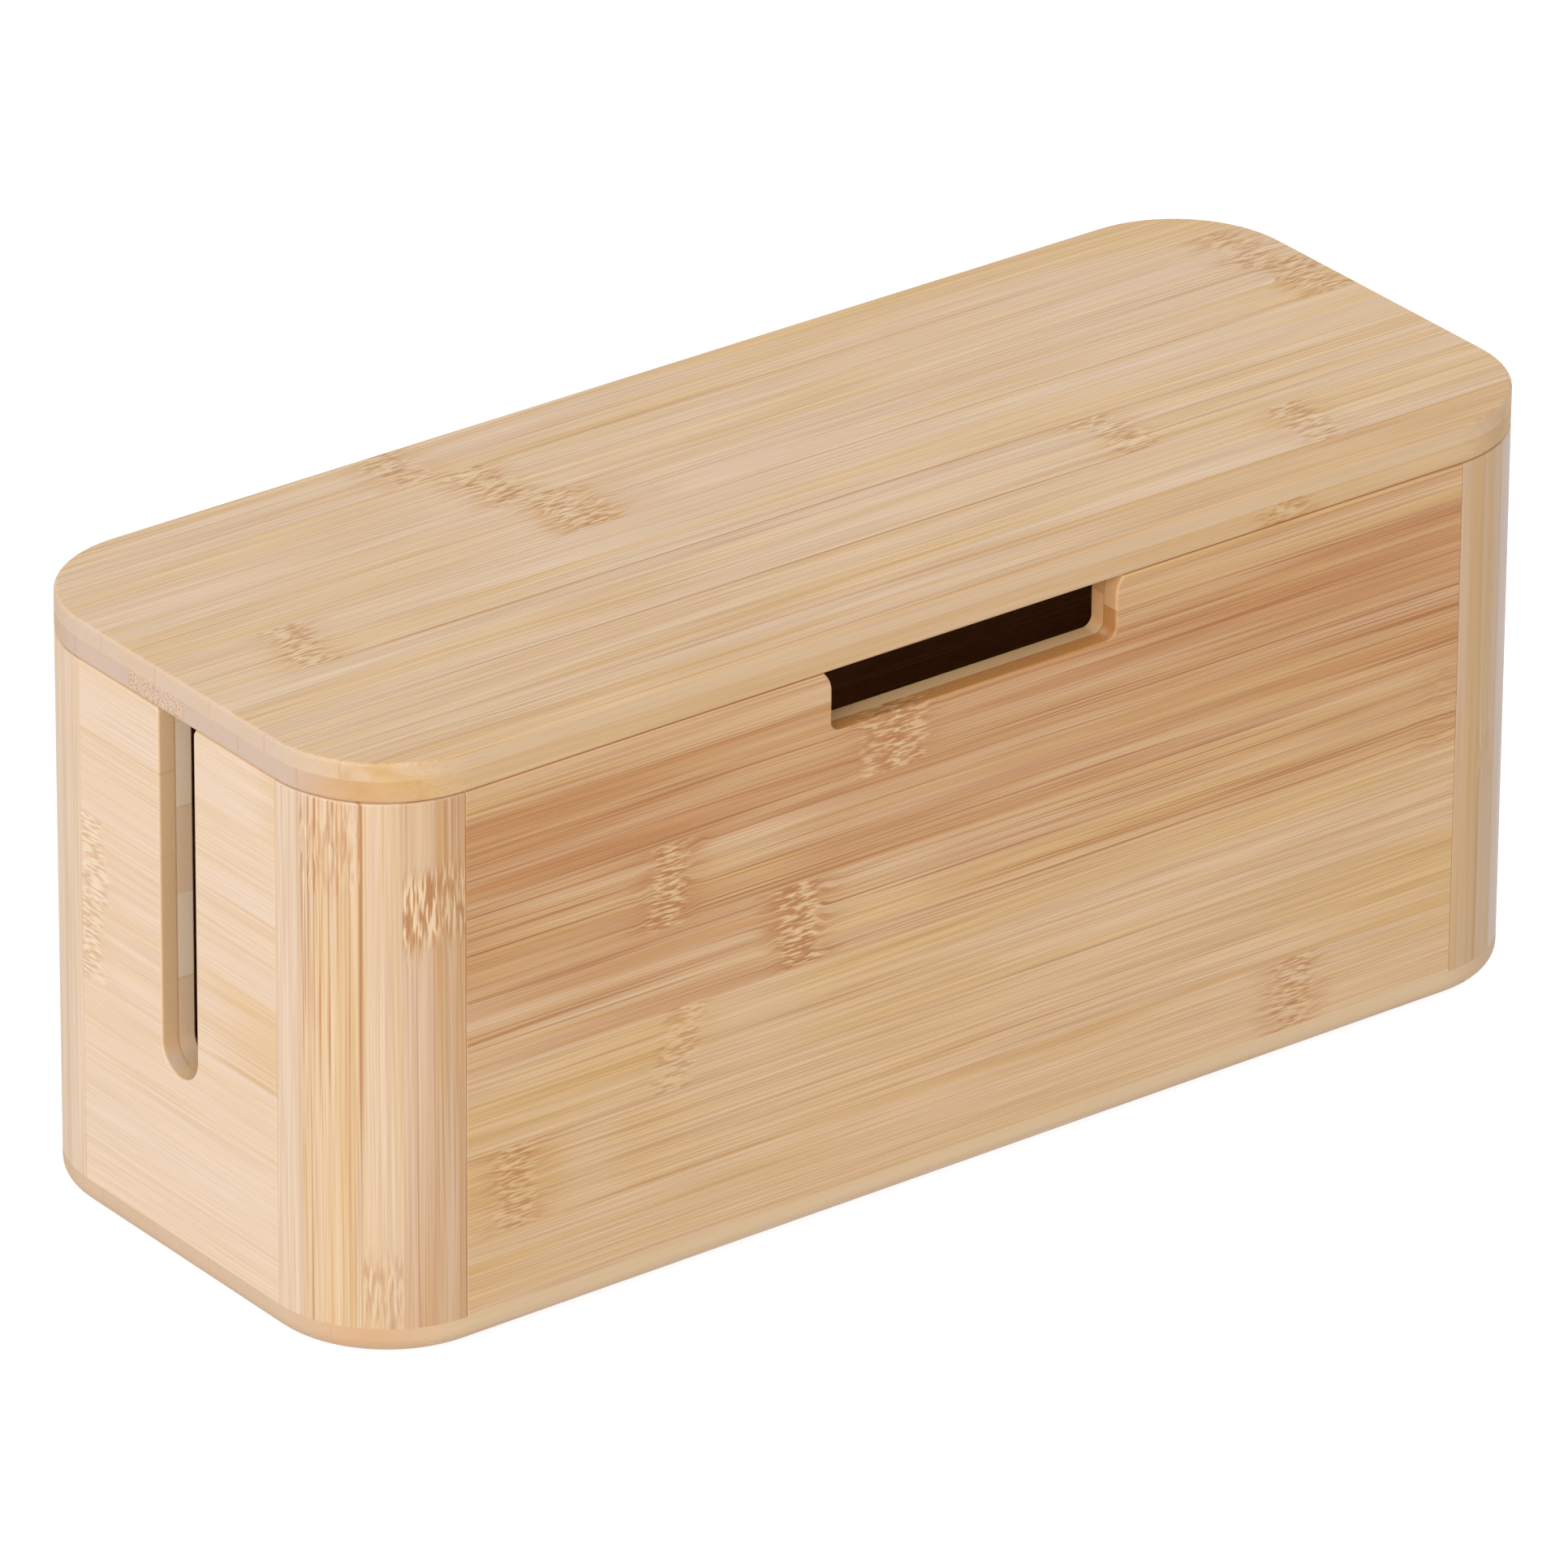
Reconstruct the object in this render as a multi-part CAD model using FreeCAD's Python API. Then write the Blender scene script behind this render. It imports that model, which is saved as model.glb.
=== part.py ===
import FreeCAD
import Part

import math
import os

# A cable management box of laminated bamboo, which stands on a desk or a floor and hides a power
# strip and its cables. Four quarter-round posts with upright grain join four walls, each glued up
# from two plies. The walls stand on a base board with rubber feet. A two-ply lid lifts straight off,
# and four blocks under it fit inside the posts. Cables pass through an upright slot in each end and
# through a wide notch at the top of the front.
# Frame: the origin is at the centre of the box, on the surface that the feet stand on. +X runs
# along the box to the right, the front faces -Y, and +Z is up. Sizes are in millimetres.

# Overall sizes of the box, without its lid, base and feet in height
box_length = 330.0
box_width = 130.0
wall_height = 125.5
corner_radius = 29.0

# Boards
outer_ply = 4.5
inner_ply = 4.5
base_thickness = 6.5
lid_top_ply = 4.25
lid_bottom_ply = 5.25

# Each wall's inner ply runs past its outer ply as a tongue, into a rebate in the post
tongue_length = 6.0

# Cable notch at the top of the front wall. Its mouth flares out on each side near the top edge.
notch_width = 77.5
notch_depth = 14.5
notch_corner_radius = 2.5
notch_mouth_flare = 2.0
notch_mouth_depth = 2.4
notch_mouth_radius = 6.0

# Cable slot in each end wall, with a round foot that starts at the sill
slot_width = 13.0
slot_sill = 39.5
slot_mouth_flare = 0.6
slot_mouth_depth = 1.0
slot_mouth_radius = 1.0

# Rounding of the edges: free ones, and those along the upright glued joints, which leave a fine V
arris_radius = 0.6
joint_arris_radius = 0.3
lid_upper_edge_radius = 0.8
lid_lower_edge_radius = 1.0
base_edge_radius = 4.0

# Blocks under the lid's corners, which keep it from sliding off
block_side = 24.0
block_depth = 6.0
block_clearance = 1.0
block_corner_radius = 2.0
block_edge_radius = 1.2

# Stick-on feet under the corners
foot_diameter = 12.0
foot_height = 1.5
foot_inset = 20.0
foot_edge_radius = 0.4

# How far a cutting shape runs past what it cuts
overrun = 2.0
# How near two places count as one
tolerance = 0.001

wall_thickness = outer_ply + inner_ply

# The post's hollow runs smoothly into the inner faces of the two tongues that it holds
hollow_radius = corner_radius - tongue_length - wall_thickness

# Heights of the seats, from the ground up
base_bottom = foot_height
wall_bottom = base_bottom + base_thickness
lid_bottom = wall_bottom + wall_height

PARTS = "parts"
UP = FreeCAD.Vector(0, 0, 1)
ACROSS = FreeCAD.Vector(1, 0, 0)

# The box's corners: name, turn about Z of what is drawn for the front left one, and place
CORNERS = [
    ("front_left", 0, -box_length / 2, -box_width / 2),
    ("front_right", 90, box_length / 2, -box_width / 2),
    ("rear_right", 180, box_length / 2, box_width / 2),
    ("rear_left", 270, -box_length / 2, box_width / 2),
]


def save(name, shape):
    shape.exportStep(os.path.join(PARTS, name + ".step"))


def rounded_face(corners):
    """A flat face at height 0. Each corner is (x, y, radius)."""
    places = [FreeCAD.Vector(x, y, 0) for x, y, radius in corners]
    bends = []
    for i, (x, y, radius) in enumerate(corners):
        back = (places[i - 1] - places[i]).normalize()
        ahead = (places[(i + 1) % len(places)] - places[i]).normalize()
        inward = (back + ahead).normalize()
        half_angle = back.getAngle(ahead) / 2
        reach = radius / math.tan(half_angle)
        middle = places[i] + inward * (radius / math.sin(half_angle) - radius)
        bends.append((places[i] + back * reach, middle, places[i] + ahead * reach))
    edges = []
    for i, (start, middle, end) in enumerate(bends):
        last_end = bends[i - 1][2]
        if last_end.distanceToPoint(start) > tolerance:
            edges.append(Part.LineSegment(last_end, start).toShape())
        if start.distanceToPoint(end) > tolerance:
            edges.append(Part.Arc(start, middle, end).toShape())
    return Part.Face(Part.Wire(edges))


def rounded_board(length, width, radius, thickness):
    """A board centred on the origin, with its underside at height 0 and its corners rounded."""
    corners = [
        (-length / 2, -width / 2, radius),
        (length / 2, -width / 2, radius),
        (length / 2, width / 2, radius),
        (-length / 2, width / 2, radius),
    ]
    return rounded_face(corners).extrude(UP * thickness)


def ease(shape, radius, wanted):
    """Rounds the edges that wanted picks, by their middle points."""
    return shape.makeFillet(radius, [e for e in shape.Edges if wanted(e.CenterOfMass)])


def at_height(height):
    return lambda middle: abs(middle.z - height) < tolerance


def wall_outline(half_span, cut):
    """A wall seen from outside, standing on height 0. The cut in its top edge is None, or its
    width, its depth, the radius of its lower corners, and its mouth's flare, depth and radius."""
    corners = [(-half_span, 0, 0), (half_span, 0, 0), (half_span, wall_height, 0)]
    if cut:
        width, depth, lower_radius, flare, mouth_depth, mouth_radius = cut
        corners += [
            (width / 2 + flare, wall_height, 0),
            (width / 2, wall_height - mouth_depth, mouth_radius),
            (width / 2, wall_height - depth, lower_radius),
            (-width / 2, wall_height - depth, lower_radius),
            (-width / 2, wall_height - mouth_depth, mouth_radius),
            (-width / 2 - flare, wall_height, 0),
        ]
    corners.append((-half_span, wall_height, 0))
    return rounded_face(corners)


def wall_ply(half_span, cut, depth, thickness, shown_depth):
    """One ply of a wall that faces -Y, with the wall's outer face at y = 0. On the face at
    shown_depth its top edge and the edges of its cut are eased, and on the wall's outer face also
    the edges that meet the posts. The edge on the base is left sharp."""
    ply = wall_outline(half_span, cut).extrude(UP * -thickness)
    ply.rotate(FreeCAD.Vector(0, 0, 0), ACROSS, 90)
    ply.translate(FreeCAD.Vector(0, depth, 0))

    def on_face(middle):
        return abs(middle.y - shown_depth) < tolerance

    def at_post(middle):
        return abs(middle.x) > half_span - tolerance

    def is_free(middle):
        return not at_post(middle) and middle.z > tolerance

    ply = ease(ply, arris_radius, lambda middle: on_face(middle) and is_free(middle))
    if shown_depth == depth:
        ply = ease(ply, joint_arris_radius, lambda middle: on_face(middle) and at_post(middle))
    return ply


def build_walls():
    """The four walls, two plies each. A side is (name, turn about Z, straight span, outer face)."""
    notch_mouth = (notch_mouth_flare, notch_mouth_depth, notch_mouth_radius)
    notch = (notch_width, notch_depth, notch_corner_radius, *notch_mouth)
    slot_mouth = (slot_mouth_flare, slot_mouth_depth, slot_mouth_radius)
    slot = (slot_width, wall_height - slot_sill, slot_width / 2, *slot_mouth)
    long_span = box_length - 2 * corner_radius
    short_span = box_width - 2 * corner_radius
    sides = [
        ("front", 0, long_span, (0, -box_width / 2), notch),
        ("right", 90, short_span, (box_length / 2, 0), slot),
        ("rear", 180, long_span, (0, box_width / 2), None),
        ("left", 270, short_span, (-box_length / 2, 0), slot),
    ]
    for name, turn, span, (x, y), cut in sides:
        outer = wall_ply(span / 2, cut, 0, outer_ply, 0)
        inner = wall_ply(span / 2 + tongue_length, cut, outer_ply, inner_ply, wall_thickness)
        for ply, shape in (("outer", outer), ("inner", inner)):
            shape.rotate(FreeCAD.Vector(0, 0, 0), UP, turn)
            shape.translate(FreeCAD.Vector(x, y, wall_bottom))
            save(name + "_" + ply + "_ply", shape)


def is_arc(edge):
    return isinstance(edge.Curve, Part.Circle)


def in_post_joint(middle):
    """True on the post's two outer edges beside the panels."""
    at_seam = max(middle.x, middle.y) > corner_radius - tolerance
    outside = min(middle.x, middle.y) < tolerance
    return at_seam and outside


def post_shape():
    """A post with its outer corner at the origin, and its wood towards +X and +Y."""
    far = corner_radius + overrun
    outside = [
        (0, 0, corner_radius),
        (corner_radius, 0, 0),
        (corner_radius, corner_radius, 0),
        (0, corner_radius, 0),
    ]
    hollow = [
        (wall_thickness, wall_thickness, hollow_radius),
        (far, wall_thickness, 0),
        (far, far, 0),
        (wall_thickness, far, 0),
    ]
    post = rounded_face(outside).extrude(UP * wall_height)
    post = post.cut(rounded_face(hollow).extrude(UP * wall_height))
    rebate_start = corner_radius - tongue_length
    for x, y in ((rebate_start, outer_ply), (outer_ply, rebate_start)):
        rebate = Part.makeBox(far - x, far - y, wall_height, FreeCAD.Vector(x, y, 0))
        post = post.cut(rebate)
    round_top = [e for e in post.Edges if at_height(wall_height)(e.CenterOfMass) and is_arc(e)]
    post = post.makeFillet(arris_radius, round_top)
    return ease(post, joint_arris_radius, in_post_joint)


def build_posts():
    for name, turn, x, y in CORNERS:
        post = post_shape()
        post.rotate(FreeCAD.Vector(0, 0, 0), UP, turn)
        post.translate(FreeCAD.Vector(x, y, wall_bottom))
        save("post_" + name, post)


def build_base():
    """The base board, under the walls and flush with them, with its lower edge rounded."""
    board = rounded_board(box_length, box_width, corner_radius, base_thickness)
    board = ease(board, base_edge_radius, at_height(0))
    board.translate(UP * base_bottom)
    save("base_board", board)


def build_lid():
    """The lid's two plies, flush with the walls, with the upper and the lower edge eased."""
    lower = rounded_board(box_length, box_width, corner_radius, lid_bottom_ply)
    lower = ease(lower, lid_lower_edge_radius, at_height(0))
    lower.translate(UP * lid_bottom)
    save("lid_bottom_ply", lower)
    upper = rounded_board(box_length, box_width, corner_radius, lid_top_ply)
    upper = ease(upper, lid_upper_edge_radius, at_height(lid_top_ply))
    upper.translate(UP * (lid_bottom + lid_bottom_ply))
    save("lid_top_ply", upper)


def build_blocks():
    """Four blocks glued under the lid. Their outer corners follow the hollows of the posts."""
    inset = wall_thickness + block_clearance
    far = inset + block_side
    corners = [
        (inset, inset, hollow_radius - block_clearance),
        (far, inset, block_corner_radius),
        (far, far, block_corner_radius),
        (inset, far, block_corner_radius),
    ]
    for name, turn, x, y in CORNERS:
        block = rounded_face(corners).extrude(UP * block_depth)
        block = ease(block, block_edge_radius, at_height(0))
        block.rotate(FreeCAD.Vector(0, 0, 0), UP, turn)
        block.translate(FreeCAD.Vector(x, y, lid_bottom - block_depth))
        save("lid_block_" + name, block)


def build_feet():
    """Four round feet stuck under the base board."""
    for name, turn, x, y in CORNERS:
        foot = Part.makeCylinder(foot_diameter / 2, foot_height)
        foot = ease(foot, foot_edge_radius, at_height(0))
        foot.translate(FreeCAD.Vector(foot_inset, foot_inset, 0))
        foot.rotate(FreeCAD.Vector(0, 0, 0), UP, turn)
        foot.translate(FreeCAD.Vector(x, y, 0))
        save("foot_" + name, foot)


os.makedirs(PARTS, exist_ok=True)
build_feet()
build_base()
build_posts()
build_walls()
build_blocks()
build_lid()
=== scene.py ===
import math

import bpy
from mathutils import Matrix, Vector


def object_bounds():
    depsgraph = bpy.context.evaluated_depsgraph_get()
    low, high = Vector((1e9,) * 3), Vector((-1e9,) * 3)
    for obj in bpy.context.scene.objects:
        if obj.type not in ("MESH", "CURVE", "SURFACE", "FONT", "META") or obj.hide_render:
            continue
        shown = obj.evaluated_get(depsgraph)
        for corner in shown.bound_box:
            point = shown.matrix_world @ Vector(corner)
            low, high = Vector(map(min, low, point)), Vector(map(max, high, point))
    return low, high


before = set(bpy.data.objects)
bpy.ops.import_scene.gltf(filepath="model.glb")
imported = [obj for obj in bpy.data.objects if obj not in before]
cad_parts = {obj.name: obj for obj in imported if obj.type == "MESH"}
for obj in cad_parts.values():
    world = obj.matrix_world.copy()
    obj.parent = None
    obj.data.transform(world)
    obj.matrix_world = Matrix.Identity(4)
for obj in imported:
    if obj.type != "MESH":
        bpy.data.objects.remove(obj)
bpy.ops.object.select_all(action="DESELECT")
cad_low, cad_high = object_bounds()

# Base board
# One bamboo board under the walls, glued up from strips that run along the box. Its lower edge is
# rounded over and the whole box is sanded and given a satin lacquer after it is glued together.

MM = 0.001


def srgb(red, green, blue):
    """A colour as a painter's chart gives it, from 0 to 255, in Blender's linear values."""
    levels = [part / 255 for part in (red, green, blue)]
    linear = [((level + 0.055) / 1.055) ** 2.4 if level > 0.04045 else level / 12.92 for level in levels]
    return (*linear, 1)


def node(tree, kind, inputs=None, **settings):
    """A shader node with its settings. Each input is set to a value, or joined to a socket."""
    made = tree.nodes.new("ShaderNode" + kind)
    for name, value in settings.items():
        setattr(made, name, value)
    for key, value in (inputs or {}).items():
        if isinstance(value, bpy.types.NodeSocket):
            tree.links.new(value, made.inputs[key])
        else:
            made.inputs[key].default_value = value
    return made


def calc(tree, operation, *terms):
    return node(tree, "Math", dict(enumerate(terms)), operation=operation).outputs[0]


def ramp(tree, value, low, high, to_low=0.0, to_high=1.0):
    """A value carried smoothly from one range to another, and held at its ends."""
    inputs = {"Value": value, "From Min": low, "From Max": high, "To Min": to_low, "To Max": to_high}
    return node(tree, "MapRange", inputs, interpolation_type="SMOOTHSTEP").outputs["Result"]


def mixed(tree, share, first, second, way="MIX"):
    inputs = {0: share, 6: first, 7: second}
    return node(tree, "Mix", inputs, data_type="RGBA", blend_type=way).outputs[2]


def grain_noise(tree, place, seed, size, detail=1.0, output="Fac"):
    """Noise drawn out along the grain. Size is about how long and how wide its patches are."""
    length, width = size
    stretch = (1 / length, 1 / width, 1 / width)
    scaled = node(tree, "VectorMath", {0: place, 1: stretch, 2: seed}, operation="MULTIPLY_ADD").outputs[0]
    inputs = {"Vector": scaled, "Scale": 1.0, "Detail": detail, "Roughness": 0.55}
    return node(tree, "TexNoise", inputs, noise_dimensions="3D").outputs[output]


def three_noises(tree, place, seed, size):
    """Three such noises at once, named Red, Green and Blue."""
    colour = grain_noise(tree, place, seed, size, output="Color")
    return node(tree, "SeparateColor", {"Color": colour}).outputs


def new_group(name, inputs, outputs):
    """A shader node group. Its inputs and outputs are given as name: kind."""
    group = bpy.data.node_groups.new(name, "ShaderNodeTree")
    for direction, sockets in (("INPUT", inputs), ("OUTPUT", outputs)):
        for label, kind in sockets.items():
            group.interface.new_socket(label, in_out=direction, socket_type="NodeSocket" + kind)
    given = group.nodes.new("NodeGroupInput").outputs
    result = group.nodes.new("NodeGroupOutput").inputs
    return group, given, result


def make_patch_group():
    """A patch of one strip: soft along the grain, cut off at the strip's joints."""
    joint_blur = 0.15 * MM
    sizes = ["Along", "Across", "Solid Length", "Full Length", "Half Width", "Strength"]
    inputs = {"Place": "Vector", **dict.fromkeys(sizes, "Float")}
    group, given, result = new_group("Strip patch", inputs, {"Mask": "Float"})
    axes = node(group, "SeparateXYZ", {"Vector": given["Place"]}).outputs
    along = calc(group, "ABSOLUTE", calc(group, "SUBTRACT", axes["X"], given["Along"]))
    across = calc(group, "ABSOLUTE", calc(group, "SUBTRACT", axes["Y"], given["Across"]))
    inside_length = ramp(group, along, given["Solid Length"], given["Full Length"], given["Strength"], 0.0)
    edge = calc(group, "SUBTRACT", across, given["Half Width"])
    inside_width = ramp(group, edge, -joint_blur, joint_blur, 1.0, 0.0)
    group.links.new(calc(group, "MULTIPLY", inside_length, inside_width), result["Mask"])
    return group


def make_bamboo_group():
    """Lacquered bamboo: long fibres and streaks, the joints between strips, and the short crossed
    fibres of the rings. Place is in metres: along the grain, across the strips, into the board."""
    fibre_size = (42 * MM, 0.32 * MM)
    line_size = (110 * MM, 0.6 * MM)
    band_size = (130 * MM, 3.4 * MM)
    zone_size = (130 * MM, 22 * MM)
    wander_size = (90 * MM, 22 * MM)
    wander_reach = 1.2 * MM
    swerve_size = (9 * MM, 5 * MM)
    swerve_reach = 5 * MM
    blotch_size = (14 * MM, 0.9 * MM)
    dash_size = (4 * MM, 0.75 * MM)
    seed_step = (3.71, 5.13, 7.77)
    dark_shade = (0.89, 0.84, 0.78, 1)
    light_shade = (1.07, 1.065, 1.06, 1)
    values = ["Strip", "Joint", "End Grain", "Sawn Edge", "Slant", "Toast", "Streaks", "Calm", "Ring",
              "Ring Stain"]
    tones = ["Pale", "Honey", "Toasted", "Streak Colour", "Ring Light", "End Pale", "End Toasted",
             "Edge Colour"]
    inputs = {"Place": "Vector", "Dash Stretch": "Vector"}
    inputs.update(dict.fromkeys(values, "Float"))
    inputs.update(dict.fromkeys(tones, "Color"))
    outputs = {"Colour": "Color", "Roughness": "Float", "Height": "Float"}
    group, given, result = new_group("Bamboo", inputs, outputs)
    place = given["Place"]
    stain = given["Ring Stain"]
    seed = node(group, "VectorMath", {0: seed_step, "Scale": given["Strip"]}, operation="SCALE").outputs[0]

    # The fibres wander a little, and swerve beside a ring
    wander = calc(group, "SUBTRACT", grain_noise(group, place, seed, wander_size), 0.5)
    swerve = calc(group, "SUBTRACT", grain_noise(group, place, seed, swerve_size), 0.5)
    swerve = calc(group, "MULTIPLY", calc(group, "MULTIPLY", swerve, stain), swerve_reach)
    shift = calc(group, "MULTIPLY_ADD", wander, wander_reach, swerve)
    sideways = node(group, "CombineXYZ", {"Y": shift}).outputs[0]
    bent = node(group, "VectorMath", {0: place, 1: sideways}, operation="ADD").outputs[0]

    fine = grain_noise(group, bent, seed, fibre_size)
    lines = three_noises(group, bent, seed, line_size)
    broad = three_noises(group, bent, seed, band_size)
    zones = grain_noise(group, place, seed, zone_size)

    # Colour: pale and honey wood, the strip's own toast, then the thin dark lines
    honey = ramp(group, broad["Red"], 0.38, 0.66, 0.0, 0.45)
    honey = calc(group, "MULTIPLY_ADD", ramp(group, lines["Red"], 0.4, 0.7), 0.4, honey)
    honey = calc(group, "ADD", honey, ramp(group, zones, 0.35, 0.65, -0.15, 0.3))
    honey = calc(group, "MULTIPLY", honey, ramp(group, given["Toast"], -0.3, 0.1, 0.0, 1.0))
    colour = mixed(group, honey, given["Pale"], given["Honey"])
    toast = calc(group, "MULTIPLY_ADD", calc(group, "SUBTRACT", broad["Green"], 0.5), 0.85, given["Toast"])
    colour = mixed(group, ramp(group, toast, 0.0, 1.0), colour, given["Toasted"])
    crowd = ramp(group, broad["Blue"], 0.35, 0.65, 0.3, 1.3)
    crowd = calc(group, "MULTIPLY_ADD", stain, 0.5, crowd)
    short = ramp(group, fine, 0.4, 0.25, 0.0, 0.5)
    marks = calc(group, "MAXIMUM", ramp(group, lines["Green"], 0.52, 0.68), short)
    fibres = calc(group, "SUBTRACT", 1.0, given["Calm"])
    marks = calc(group, "MULTIPLY", calc(group, "MULTIPLY", marks, given["Streaks"]), fibres)
    marks = calc(group, "MINIMUM", calc(group, "MULTIPLY", marks, crowd), 0.9)
    colour = mixed(group, marks, colour, given["Streak Colour"])
    shade = mixed(group, ramp(group, fine, 0.3, 0.7), dark_shade, light_shade)
    colour = mixed(group, fibres, colour, shade, "MULTIPLY")
    joint = calc(group, "MULTIPLY", given["Joint"], ramp(group, lines["Blue"], 0.3, 0.6, 0.5, 1.0))
    colour = mixed(group, joint, colour, given["Streak Colour"])

    # Sawn edges, end grain and slanting cuts, with open pores, and the joints in the end grain
    colour = mixed(group, given["Sawn Edge"], colour, given["Edge Colour"])
    toasted_end = ramp(group, given["Toast"], 0.15, 0.6)
    end_colour = mixed(group, toasted_end, given["End Pale"], given["End Toasted"])
    colour = mixed(group, calc(group, "MULTIPLY", given["End Grain"], 0.85), colour, end_colour)
    colour = mixed(group, given["Slant"], colour, given["Toasted"])
    pores = calc(group, "MULTIPLY", given["End Grain"], ramp(group, fine, 0.3, 0.6, 0.14, 0.0))
    colour = mixed(group, pores, colour, given["Streak Colour"])
    end_joint = calc(group, "MULTIPLY", joint, given["End Grain"])
    colour = mixed(group, end_joint, colour, given["Streak Colour"])

    # The ring: brown stains round it, and short light dashes with brown gaps between them
    blotch = grain_noise(group, bent, seed, blotch_size, 2.0)
    blotch = calc(group, "MULTIPLY", ramp(group, blotch, 0.42, 0.6, 0.0, 0.95), stain)
    colour = mixed(group, blotch, colour, given["Toasted"])
    dash_place = node(group, "VectorMath", {0: place, 1: given["Dash Stretch"]}, operation="MULTIPLY")
    dashes = grain_noise(group, dash_place.outputs[0], seed, dash_size)
    light = calc(group, "MULTIPLY", ramp(group, dashes, 0.49, 0.59), given["Ring"])
    dark = calc(group, "MULTIPLY", ramp(group, dashes, 0.5, 0.38), given["Ring"])
    colour = mixed(group, calc(group, "MULTIPLY", dark, 0.7), colour, given["Streak Colour"])
    colour = mixed(group, calc(group, "MULTIPLY", light, 0.7), colour, given["Ring Light"])
    group.links.new(colour, result["Colour"])

    rough = ramp(group, fine, 0.3, 0.7, 0.5, 0.42)
    rough = calc(group, "MULTIPLY_ADD", given["End Grain"], 0.2, rough)
    group.links.new(rough, result["Roughness"])
    height = calc(group, "MULTIPLY_ADD", dark, -0.6, calc(group, "MULTIPLY", fine, fibres))
    height = calc(group, "MULTIPLY_ADD", joint, -0.8, height)
    group.links.new(height, result["Height"])
    return group


patch_group = make_patch_group()
bamboo_group = make_bamboo_group()

# A board's marks: joints between its strips, cracks beside them, the glue under it, and its rings
joint_line = 0.1 * MM
joint_reach = 0.35 * MM
joint_strength = 0.2
seam_half_width = 0.3 * MM
glue_line = 0.15 * MM
glue_reach = 0.4 * MM
glue_strength = 0.9
ring_length = 3 * MM
ring_reach = 6.5 * MM
stain_reach = 14 * MM
ragged_size = (30 * MM, 1.3 * MM)
ragged_reach = 9 * MM
bowed_size = (60 * MM, 14 * MM)
bowed_reach = 8 * MM
dash_narrowing = 1.2
grain_depth = 0.08 * MM


def patch_mask(tree, place, along, across, half_width, solid_length, full_length, strength=1.0):
    """Where one patch lies, with its strength."""
    inputs = {
        "Place": place, "Along": along, "Across": across, "Half Width": half_width,
        "Solid Length": solid_length, "Full Length": full_length, "Strength": strength,
    }
    return node(tree, "Group", inputs, node_tree=patch_group).outputs["Mask"]


def strip_tones(tree, count, strips):
    """Each strip's toast and streaks, where the place is counted in strips. A ramp holds nothing
    below 0, so the toast goes in with a shift, which comes off again."""
    shift = 0.5
    ramp_node = node(tree, "ValToRGB", {"Fac": calc(tree, "DIVIDE", count, float(len(strips)))})
    stops = ramp_node.color_ramp
    stops.interpolation = "CONSTANT"
    for i, (toast, streaks) in enumerate(strips):
        stop = stops.elements[0] if i == 0 else stops.elements.new(i / len(strips))
        stop.color = (shift + toast, streaks, 0, 1)
    stops.elements.remove(stops.elements[-1])
    tone = node(tree, "SeparateColor", {"Color": ramp_node.outputs["Color"]}).outputs
    return calc(tree, "SUBTRACT", tone["Red"], shift), tone["Green"]


def ragged_place(tree, place):
    """The place moved along the grain by a noise, so that the rings get ragged, bowed edges."""
    ragged = calc(tree, "SUBTRACT", grain_noise(tree, place, (0, 0, 3), ragged_size), 0.5)
    bowed = calc(tree, "SUBTRACT", grain_noise(tree, place, (0, 0, 5), bowed_size, 0.0), 0.5)
    sway = calc(tree, "MULTIPLY_ADD", bowed, bowed_reach, calc(tree, "MULTIPLY", ragged, ragged_reach))
    sway = node(tree, "CombineXYZ", {"X": sway}).outputs[0]
    return node(tree, "VectorMath", {0: place, 1: sway}, operation="ADD").outputs[0]


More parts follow.
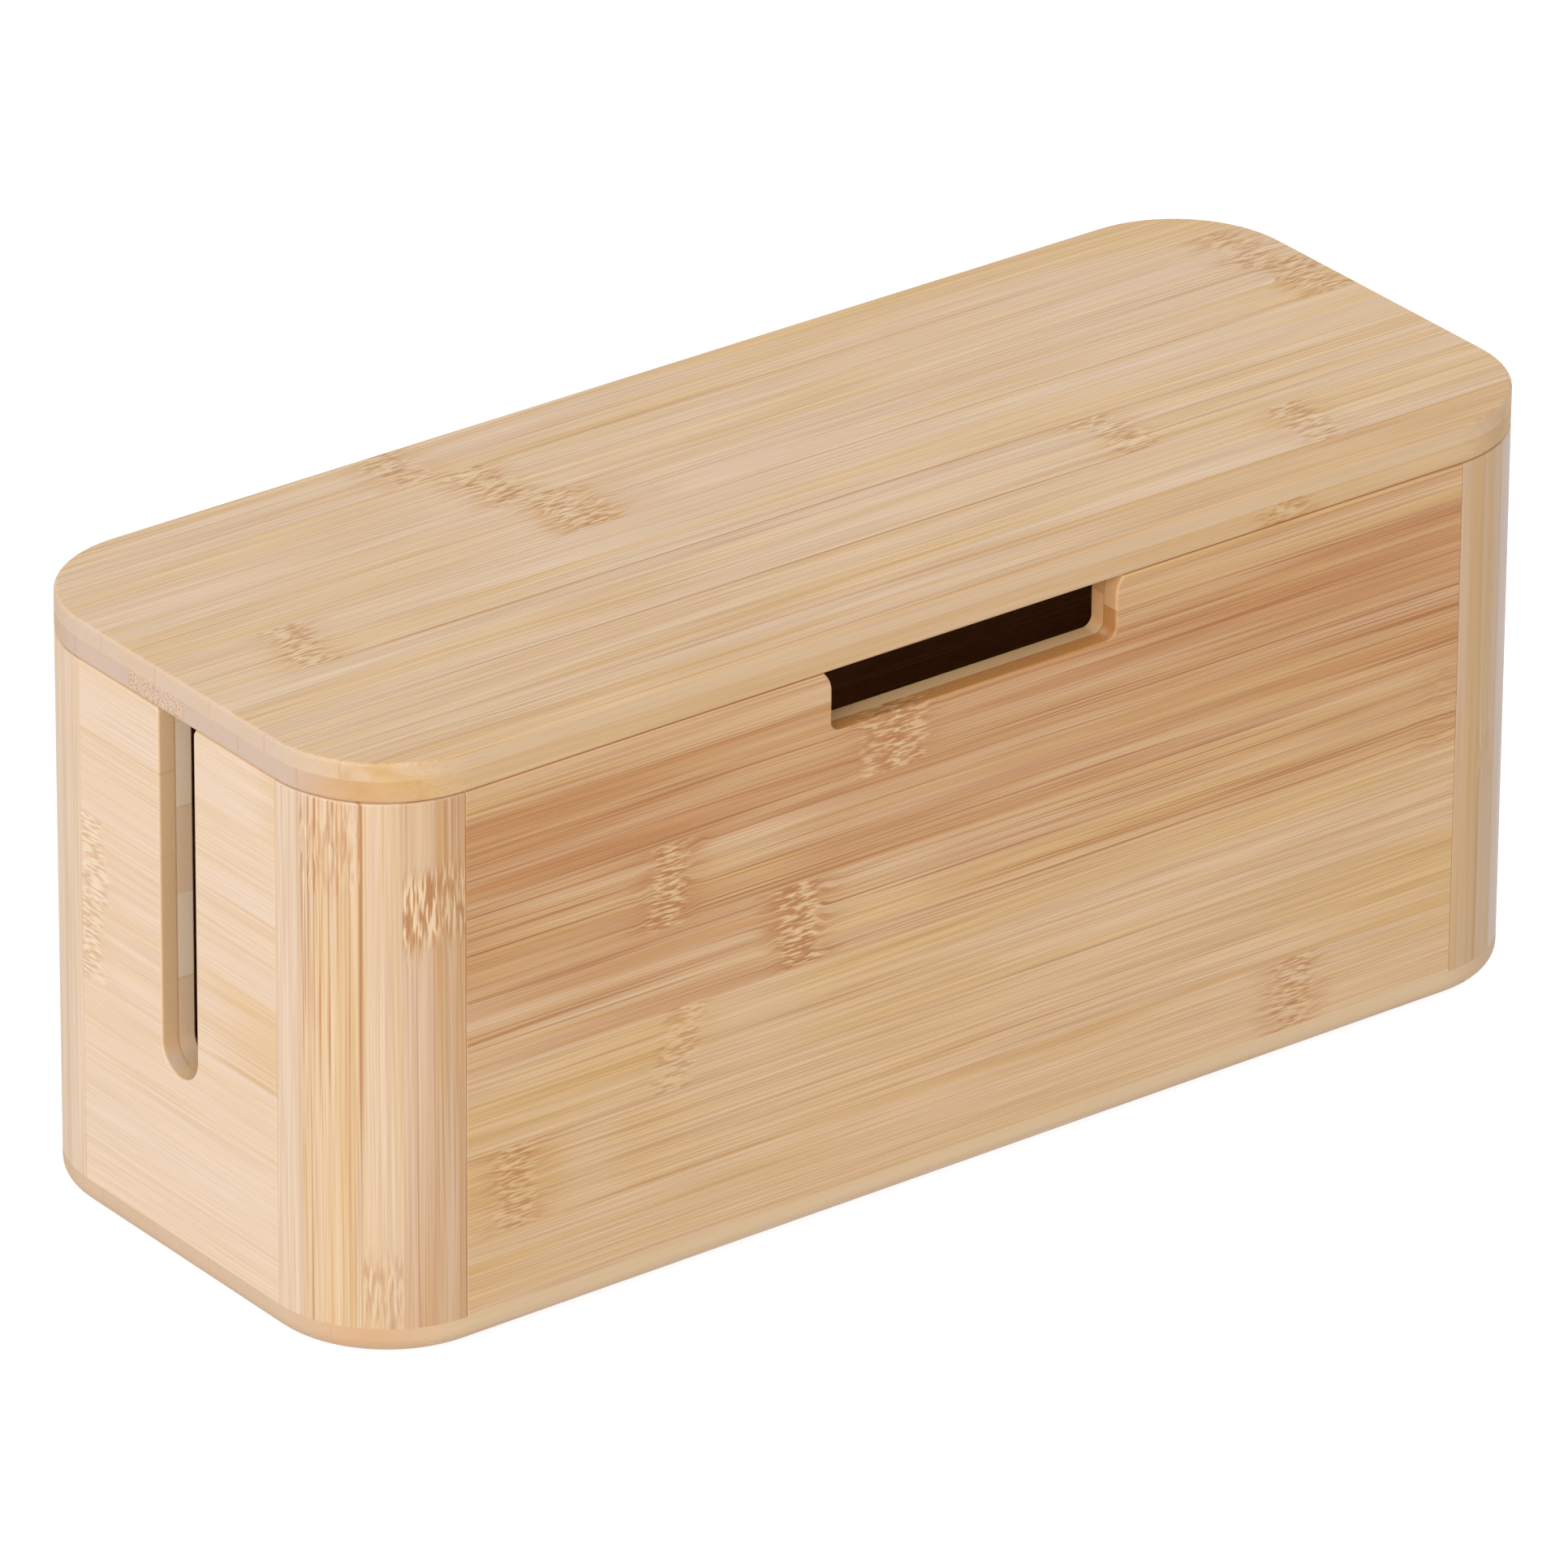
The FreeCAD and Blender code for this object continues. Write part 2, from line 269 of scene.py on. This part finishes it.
def bamboo(name, axes, strip_width, lowest_joint, strips, colours, rings=(), patches=(), seams=(),
           edge=0.0, slant=0.0, ring_stretch=1.0, glued_face=None, calm=0.0):
    """A bamboo material. Axes are the object's axes along the grain, across the strips and into
    the board. Strips are (toast, streaks) for each strip from the lowest joint up. Rings are
    (along, strip, strength, stain), patches are (along, strip, half length, toast) and seams are
    (along, across, half length, strength), in millimetres, with the strips counted from 0. Edge is
    how much the sawn edges differ, slant is how much darker the round corners are, and
    ring_stretch draws the rings out along the grain. The glued face is where the board lies on the
    next one, seen as a thin line on its edges. Calm is how little the fibres show, which also fade
    where a rounding cuts them off."""
    material = bpy.data.materials.new(name)
    material.use_nodes = True
    tree = material.node_tree
    shader = tree.nodes["Principled BSDF"]
    coordinates = node(tree, "TexCoord").outputs
    position = node(tree, "SeparateXYZ", {"Vector": coordinates["Object"]}).outputs
    facing = node(tree, "SeparateXYZ", {"Vector": coordinates["Normal"]}).outputs
    along, across, through = (position[axis] for axis in axes)
    place = node(tree, "CombineXYZ", {"X": along, "Y": across, "Z": through}).outputs[0]

    # Which strip, and how far the nearest joint is
    count = calc(tree, "DIVIDE", calc(tree, "SUBTRACT", across, lowest_joint), strip_width)
    number = calc(tree, "FLOOR", count)
    toast, streaks = strip_tones(tree, count, strips)
    from_middle = calc(tree, "ABSOLUTE", calc(tree, "SUBTRACT", calc(tree, "FRACT", count), 0.5))
    to_joint = calc(tree, "MULTIPLY", calc(tree, "SUBTRACT", 0.5, from_middle), strip_width)
    joint = ramp(tree, to_joint, joint_line, joint_reach, joint_strength, 0.0)

    def strip_middle(strip):
        return lowest_joint + (strip + 0.5) * strip_width

    # Rings, patches and seams, where the board has them
    ring = 0.0
    stain = 0.0
    swayed = ragged_place(tree, place)
    for ring_along, strip, strength, ring_stain in rings:
        spot = (swayed, ring_along * MM, strip_middle(strip), strip_width / 2)
        core = patch_mask(tree, *spot, ring_length * ring_stretch, ring_reach * ring_stretch, strength)
        around = patch_mask(tree, *spot, ring_length, stain_reach, ring_stain)
        ring = calc(tree, "ADD", ring, core)
        stain = calc(tree, "ADD", stain, around)
    for patch_along, strip, half_length, more_toast in patches:
        spot = (place, patch_along * MM, strip_middle(strip), strip_width / 2)
        patch = patch_mask(tree, *spot, 0.0, half_length * MM)
        toast = calc(tree, "MULTIPLY_ADD", patch, more_toast, toast)
    for seam_along, seam_across, half_length, strength in seams:
        spot = (place, seam_along * MM, seam_across * MM, seam_half_width)
        seam = patch_mask(tree, *spot, half_length * MM / 2, half_length * MM, strength)
        joint = calc(tree, "MAXIMUM", joint, seam)
    if glued_face is not None:
        to_glue = calc(tree, "ABSOLUTE", calc(tree, "SUBTRACT", through, glued_face))
        glue = ramp(tree, to_glue, glue_line, glue_reach, glue_strength, 0.0)
        joint = calc(tree, "MAXIMUM", joint, glue)

    # End grain faces along the fibres, and a sawn edge faces across the strips
    ends = calc(tree, "ABSOLUTE", facing[axes[0]])
    sides = calc(tree, "ABSOLUTE", facing[axes[1]])
    end_share = calc(tree, "DIVIDE", ends, calc(tree, "ADD", calc(tree, "ADD", ends, sides), 0.05))
    end_grain = calc(tree, "MULTIPLY", ramp(tree, end_share, 0.35, 0.8), ramp(tree, ends, 0.4, 0.9))
    cut = calc(tree, "MULTIPLY", ramp(tree, ends, 0.0, 0.8), ramp(tree, sides, 0.0, 0.8, 0.0, slant))
    faded = calc(tree, "MAXIMUM", ramp(tree, ends, 0.1, 0.6, 0.0, 0.85), calm)
    wood = dict(colours, **{
        "Place": place, "Strip": number, "Toast": toast, "Streaks": streaks, "Joint": joint,
        "Ring": ring, "Ring Stain": stain,
        "Dash Stretch": (1 / ring_stretch, dash_narrowing, dash_narrowing),
        "End Grain": end_grain, "Sawn Edge": ramp(tree, sides, 0.85, 0.98, 0.0, edge), "Slant": cut,
        "Calm": faded,
    })
    wood = node(tree, "Group", wood, node_tree=bamboo_group).outputs
    bump = node(tree, "Bump", {"Height": wood["Height"], "Strength": 0.3, "Distance": grain_depth})
    tree.links.new(wood["Colour"], shader.inputs["Base Color"])
    tree.links.new(wood["Roughness"], shader.inputs["Roughness"])
    tree.links.new(bump.outputs["Normal"], shader.inputs["Normal"])
    return material


def finish_with(material, *names):
    """Gives these pieces one material in place of the one that they came with."""
    for name in names:
        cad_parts[name].data.materials.clear()
        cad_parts[name].data.materials.append(material)


base_bamboo = {
    "Pale": srgb(230, 199, 164), "Honey": srgb(226, 191, 148), "Toasted": srgb(212, 165, 120),
    "Streak Colour": srgb(197, 150, 108), "Ring Light": srgb(240, 212, 170),
    "End Pale": srgb(213, 184, 156), "End Toasted": srgb(210, 180, 150), "Edge Colour": srgb(228, 198, 158),
}
base_strips = [(-0.2, 0.2), (0.2, 0.3), (0.3, 0.2), (0.25, 0.3), (0.35, 0.25), (0.2, 0.3), (0.1, 0.2)]
base_strip = 20 * MM
base_joint = -70 * MM
base_wood = bamboo("bamboo base", "XYZ", base_strip, base_joint, base_strips, base_bamboo, edge=0.8,
                   slant=0.85)
finish_with(base_wood, "base_board")


# Corner posts
# Four quarter-round posts, worked from a block of upright bamboo strips that are glued face to
# face. Each holds the tongues of two walls in its rebates, and stands flush with them.

strip_thickness = 7 * MM
post_bamboo = {
    "Pale": srgb(226, 200, 174), "Honey": srgb(223, 187, 138), "Toasted": srgb(200, 148, 96),
    "Streak Colour": srgb(182, 126, 78), "Ring Light": srgb(240, 212, 172),
    "End Pale": srgb(222, 190, 158), "End Toasted": srgb(205, 168, 130), "Edge Colour": srgb(222, 190, 158),
}
# Painted reflection: the front-right post's colours are greyer, lavender and paler, standing in for the
# grazing sheen along its far side.
painted_reflection_bamboo = dict(post_bamboo, **{
    "Pale": srgb(219, 201, 194), "Honey": srgb(222, 192, 164), "Toasted": srgb(214, 174, 118),
})
# For each post: its colours, how little its fibres show, its strips from left to right, and its
# rings (height, strip, strength)
posts = {
    "post_front_left": (post_bamboo, 0.2, [(-0.3, 0.15), (0.08, 0.9), (0.0, 0.2), (0.42, 0.6), (0.52, 0.6)],
                        [(122, 1, 0.4), (108, 3, 1.3), (109, 4, 0.9), (17, 2, 0.5)]),
    "post_front_right": (painted_reflection_bamboo, 0.6, [(0.7, 0.1), (0.65, 0.9), (0.15, 0.5), (0, 0.1), (0, 0.1)],
                         [(61, 1, 0.25)]),
    "post_rear_right": (post_bamboo, 0.2, [(0.3, 0.5), (0.1, 0.3), (0.2, 0.4), (0.0, 0.2), (0.1, 0.3)],
                        [(60, 2, 1), (102, 0, 0.8)]),
    "post_rear_left": (post_bamboo, 0.2, [(-0.2, 0.2), (-0.05, 0.3), (0.0, 0.2), (0.15, 0.3), (0.3, 0.4)],
                       [(96, 3, 1), (24, 2, 0.8)]),
}
# On each side, in millimetres: the leftmost joint, and the one that shows as a dark seam
post_joints = {"left": (-171, -157), "right": (136, 157)}
post_seam_height = 100
post_seam_half_length = 60
post_ring_stretch = 1.7
for post, (colours, calm, strips, rings) in posts.items():
    side = post.split("_")[-1]
    leftmost_joint, seam_place = post_joints[side]
    rings = [(height, strip, strength, strength) for height, strip, strength in rings]
    seams = [(post_seam_height, seam_place, post_seam_half_length, 1.0)]
    post_wood = bamboo("bamboo " + post.replace("_", " "), "ZXY", strip_thickness, leftmost_joint * MM,
                       strips, colours, rings, seams=seams, ring_stretch=post_ring_stretch, calm=calm)
    finish_with(post_wood, post)


# Walls, outer plies
# The face of each wall: a board of bamboo strips about 20 mm wide that run level, let in between
# the posts with a fine V along each glued joint. The front has the notch, each end has a slot.

front_bamboo = {
    "Pale": srgb(229, 195, 157), "Honey": srgb(223, 183, 124), "Toasted": srgb(196, 137, 84),
    "Streak Colour": srgb(180, 118, 68), "Ring Light": srgb(240, 208, 160),
    "End Pale": srgb(222, 178, 126), "End Toasted": srgb(186, 124, 62), "Edge Colour": srgb(214, 152, 84),
}
# Painted sheen: the left end's colours are paler and pinker than the front's, standing in for the stronger
# light and white sheen that fall on that end.
painted_sheen_bamboo = {
    "Pale": srgb(233, 208, 185), "Honey": srgb(231, 204, 173), "Toasted": srgb(226, 192, 150),
    "Streak Colour": srgb(206, 162, 118), "Ring Light": srgb(242, 222, 196),
    "End Pale": srgb(236, 196, 148), "End Toasted": srgb(220, 178, 128), "Edge Colour": srgb(248, 211, 156),
}
wall_strip = 19.95 * MM
outer_ply = 4.5 * MM
front_joint = 5.6 * MM
front_strips = [(0.05, 0.25), (0.08, 0.3), (0.06, 0.35), (0.32, 0.6), (0.53, 0.8), (0.54, 0.85),
                (0.3, 0.4)]
front_rings = [(-27.5, 5, 0.7, 0.6), (-19, 5, 0.8, 0.6), (-81.8, 4, 0.9, 0.9), (-47.7, 3, 1.0, 1.2),
               (134, 3, 0.15, 0.35), (-80.2, 2, 0.6, 0.1), (-124, 1, 0.7, 0.6), (89.8, 0, 0.7, 0.7)]
front_patches = [(-110, 4, 30, -0.1), (-60, 4, 25, -0.2), (-90, 6, 60, 0.1), (-60, 1, 60, -0.2),
                 (-90, 3, 50, 0.1), (-105, 5, 60, 0.15), (110, 5, 60, 0.15), (-25, 3, 25, -0.2),
                 (-60, 2, 30, -0.2), (-104, 1, 15, -0.2)]
front_seams = [(-80, 25.55, 40, 0.5)]
front_wood = bamboo("bamboo front", "XZY", wall_strip, front_joint, front_strips, front_bamboo,
                    front_rings, front_patches, front_seams, edge=0.85, glued_face=cad_low[1] + outer_ply)
finish_with(front_wood, "front_outer_ply")

rear_strips = [(0.2, 0.35), (0.15, 0.4), (0.4, 0.6), (0.2, 0.35), (0.45, 0.7), (0.15, 0.4), (0.2, 0.3)]
rear_rings = [(40, 5, 1, 1), (-96, 3, 0.8, 0.8), (101, 2, 1, 0.8), (-20, 1, 0.7, 0.4)]
rear_wood = bamboo("bamboo rear", "XZY", wall_strip, front_joint, rear_strips, front_bamboo, rear_rings)
finish_with(rear_wood, "rear_outer_ply")

end_joint = -2 * MM
end_strips = [(0.08, 0.15), (0.02, 0.15), (0.2, 0.25), (0.24, 0.3), (0.28, 0.3), (0.2, 0.3), (0.08, 0.2)]
left_rings = [(31, 4, 0.9, 0.5), (33, 3, 0.9, 0.6)]
left_patches = [(-36, 3, 32, 0.6), (-36, 6, 12, 0.4)]
left_seams = [(-26, 58.6, 16, 0.5), (22, 117.7, 24, 0.5), (-26, 98, 20, 0.4), (-24, 77.9, 14, 0.3)]
left_wood = bamboo("bamboo left end", "YZX", wall_strip, end_joint, end_strips, painted_sheen_bamboo, left_rings,
                   left_patches, left_seams, edge=0.6, glued_face=cad_low[0] + outer_ply, calm=0.4)
finish_with(left_wood, "left_outer_ply")
right_rings = [(-20, 2, 0.9, 0.8), (24, 5, 0.9, 0.8)]
right_wood = bamboo("bamboo right end", "YZX", wall_strip, end_joint, end_strips[::-1], front_bamboo,
                    right_rings)
finish_with(right_wood, "right_outer_ply")


# Walls, inner plies
# The second ply of each wall, glued behind the first. Its ends are the tongues in the posts, and
# its edges show in the notch and in the slots, as blocks of lighter and darker strips.

inner_strip = 20.5 * MM
inner_front_joint = 5 * MM
inner_rear_joint = -8.5 * MM
inner_end_joint = -14.7 * MM
inner_strips = [(0.6, 0.4), (0.1, 0.3)] * 4
# Painted shade: the rear inner ply's strips are all dark, so that the inside of the box stays dark where it
# shows through the notch.
painted_shade_strips = [(1, 0.6), (0.7, 0.8)] * 4
# The inner plies' end colours are their own end grain. Their very pale Edge Colour is painted light: it
# lightens the sawn edge on the notch floor, where the lid shades it.
inner_bamboo_painted_light_edge = dict(front_bamboo, **{
    "End Pale": srgb(214, 162, 110), "End Toasted": srgb(200, 148, 96), "Edge Colour": srgb(246, 210, 158),
})
inner_front = bamboo("bamboo inner front", "XZY", inner_strip, inner_front_joint, inner_strips,
                     inner_bamboo_painted_light_edge, edge=0.8)
finish_with(inner_front, "front_inner_ply")
inner_rear = bamboo("bamboo inner rear", "XZY", inner_strip, inner_rear_joint, painted_shade_strips, inner_bamboo_painted_light_edge)
finish_with(inner_rear, "rear_inner_ply")
# Painted light: the inner end plies' very pale end colours lighten the walls of the slots, standing in for
# light inside them.
slot_painted_light_bamboo = dict(painted_sheen_bamboo, **{"End Pale": srgb(255, 234, 202), "End Toasted": srgb(250, 216, 180)})
inner_end = bamboo("bamboo inner end", "YZX", inner_strip, inner_end_joint, inner_strips[1:], slot_painted_light_bamboo,
                   edge=0.5)
finish_with(inner_end, "left_inner_ply", "right_inner_ply")


# Feet
# Four round pads of dark rubber, stuck under the corners of the base board.

rubber_grain = 0.6 * MM
rubber_depth = 0.05 * MM


def foot_rubber():
    """Matt rubber, finely grained."""
    material = bpy.data.materials.new("foot rubber")
    material.use_nodes = True
    tree = material.node_tree
    shader = tree.nodes["Principled BSDF"]
    place = node(tree, "TexCoord").outputs["Object"]
    grain = {"Vector": place, "Scale": 1 / rubber_grain, "Detail": 2.0}
    grain = node(tree, "TexNoise", grain).outputs["Fac"]
    colour = mixed(tree, grain, srgb(34, 34, 35), srgb(52, 51, 50))
    bump = node(tree, "Bump", {"Height": grain, "Strength": 0.4, "Distance": rubber_depth})
    tree.links.new(colour, shader.inputs["Base Color"])
    tree.links.new(bump.outputs["Normal"], shader.inputs["Normal"])
    shader.inputs["Roughness"].default_value = 0.75
    return material


corners = ["front_left", "front_right", "rear_right", "rear_left"]
finish_with(foot_rubber(), *["foot_" + corner for corner in corners])


# Lid
# Two bamboo boards glued one on the other, with their strips along the box and a small rounding
# on the upper and the lower edge. The lid is loose and rests on the walls.

lid_strip = 20 * MM
lid_joint = -72.6 * MM
lid_bamboo = {
    "Pale": srgb(229, 200, 170), "Honey": srgb(227, 191, 134), "Toasted": srgb(204, 151, 86),
    "Streak Colour": srgb(184, 124, 58), "Ring Light": srgb(236, 208, 164),
    "End Pale": srgb(216, 191, 169), "End Toasted": srgb(212, 186, 162), "Edge Colour": srgb(228, 196, 160),
}
lid_strips = [(0.33, 0.3), (0.17, 0.3), (0.13, 0.3), (0.0, 0.2), (0.08, 0.3), (0.0, 0.25), (0.14, 0.25)]
lid_rings = [(-66, 6, 0.8, 0.5), (-55, 5, 0.9, 0.9), (-48, 4, 0.9, 1.3), (-134, 3, 0.85, 0.6),
             (71, 2, 0.85, 0.5), (109, 1, 0.85, 0.5), (153, 5, 0.7, 0.8), (160, 4, 0.8, 1.2)]
lid_patches = [(-35, 4, 20, 0.2), (35, 5, 30, 0.12), (-60, 1, 110, 0.12)]
lid_seams = [(60, 7.4, 105, 0.5), (-25, -12.6, 130, 1.0), (-28, -32.6, 130, 0.9), (-5, -52.6, 110, 0.6),
             (41, 47.4, 94, 0.5)]
upper_wood = bamboo("bamboo lid top", "XYZ", lid_strip, lid_joint, lid_strips, lid_bamboo, lid_rings,
                    lid_patches, lid_seams, edge=0.6, slant=0.2)
finish_with(upper_wood, "lid_top_ply")
lower_joint = -63 * MM
lower_rings = [(-164, 3, 0.6, 0.0), (85, -1, 0.5, 1.0)]
lower_bamboo = dict(lid_bamboo, **{
    "End Pale": srgb(206, 182, 166), "End Toasted": srgb(203, 177, 159), "Edge Colour": srgb(222, 184, 134),
})
lower_wood = bamboo("bamboo lid bottom", "XYZ", lid_strip, lower_joint, lid_strips, lower_bamboo,
                    lower_rings, edge=0.5, slant=0.7)
finish_with(lower_wood, "lid_bottom_ply")


# Lid blocks
# Four blocks of bamboo glued under the lid's corners. Each follows the hollow of its post, so
# that the lid can't slide off.

block_joint = -60 * MM
block_wood = bamboo("bamboo block", "XYZ", lid_strip, block_joint, lid_strips, lid_bamboo)
finish_with(block_wood, *["lid_block_" + corner for corner in corners])


# Floor
# A plain white floor under the box. The camera sees it white, with the box's soft shadow on it.

floor_size = 24.0
bpy.ops.mesh.primitive_plane_add(size=floor_size, location=(0, 0, 0))
floor = bpy.context.object
floor.name = "floor"


def seen_plainly(tree):
    """1 for rays from the camera, straight, by a reflection or through glass, and 0 for others."""
    rays = node(tree, "LightPath").outputs
    seen = calc(tree, "MAXIMUM", rays["Is Camera Ray"], rays["Is Glossy Ray"])
    return calc(tree, "MAXIMUM", seen, rays["Is Transmission Ray"])


floor_paint = bpy.data.materials.new("floor")
floor_paint.use_nodes = True
tree = floor_paint.node_tree
tree.nodes.clear()
paint = node(tree, "BsdfDiffuse", {"Color": (0.55, 0.55, 0.55, 1)})
shadow_catcher = node(tree, "BsdfDiffuse", {"Color": (0.3, 0.3, 0.3, 1)})
glow = node(tree, "Emission", {"Color": (1, 1, 1, 1), "Strength": 0.88})
white = node(tree, "AddShader", {0: shadow_catcher.outputs[0], 1: glow.outputs[0]})
cover = node(tree, "MixShader", {0: seen_plainly(tree), 1: paint.outputs[0], 2: white.outputs[0]})
node(tree, "OutputMaterial", {"Surface": cover.outputs[0]})
floor.data.materials.append(floor_paint)


# Light
# A pale studio: an even white surround, and one large soft lamp from the left, a little in front.

world = bpy.data.worlds.new("studio")
bpy.context.scene.world = world
world.use_nodes = True
tree = world.node_tree
tree.nodes.clear()
lit_strength = 0.77
seen_strength = 1.0
strength = calc(tree, "MULTIPLY_ADD", seen_plainly(tree), seen_strength - lit_strength, lit_strength)
surround = node(tree, "Background", {"Color": (1, 1, 1, 1), "Strength": strength})
node(tree, "OutputWorld", {"Surface": surround.outputs[0]})

lamp_direction = Vector((-0.842, -0.463, 0.274)).normalized()
lamp_distance = 3.2
lamp_data = bpy.data.lights.new("key", "AREA")
lamp_data.size = 2.0
lamp_data.energy = 53
lamp = bpy.data.objects.new("key", lamp_data)
lamp.location = lamp_direction * lamp_distance
lamp.rotation_euler = (-lamp_direction).to_track_quat("-Z", "Y").to_euler()
lamp.visible_camera = False
bpy.context.scene.collection.objects.link(lamp)


# Camera
# It stands where the photograph was taken from: to the left, in front and above, far off with a
# long lens.

camera_place = Vector((-1.85119, -2.41696, 1.58766))
camera_yaw = math.radians(37.42)
camera_pitch = math.radians(26.51)
camera_roll = math.radians(0.39)
frame_pixels = 1932
focal_pixels = 19036.0
camera_data = bpy.data.cameras.new("camera")
camera_data.sensor_width = 36
camera_data.lens = camera_data.sensor_width * focal_pixels / frame_pixels
camera_data.clip_end = 100
camera = bpy.data.objects.new("camera", camera_data)
bpy.context.scene.collection.objects.link(camera)
turn = Matrix.Rotation(-camera_yaw, 4, "Z") @ Matrix.Rotation(math.pi / 2 - camera_pitch, 4, "X")
camera.matrix_world = Matrix.Translation(camera_place) @ turn @ Matrix.Rotation(camera_roll, 4, "Z")
bpy.context.scene.camera = camera
bpy.context.scene.view_settings.view_transform = "Standard"
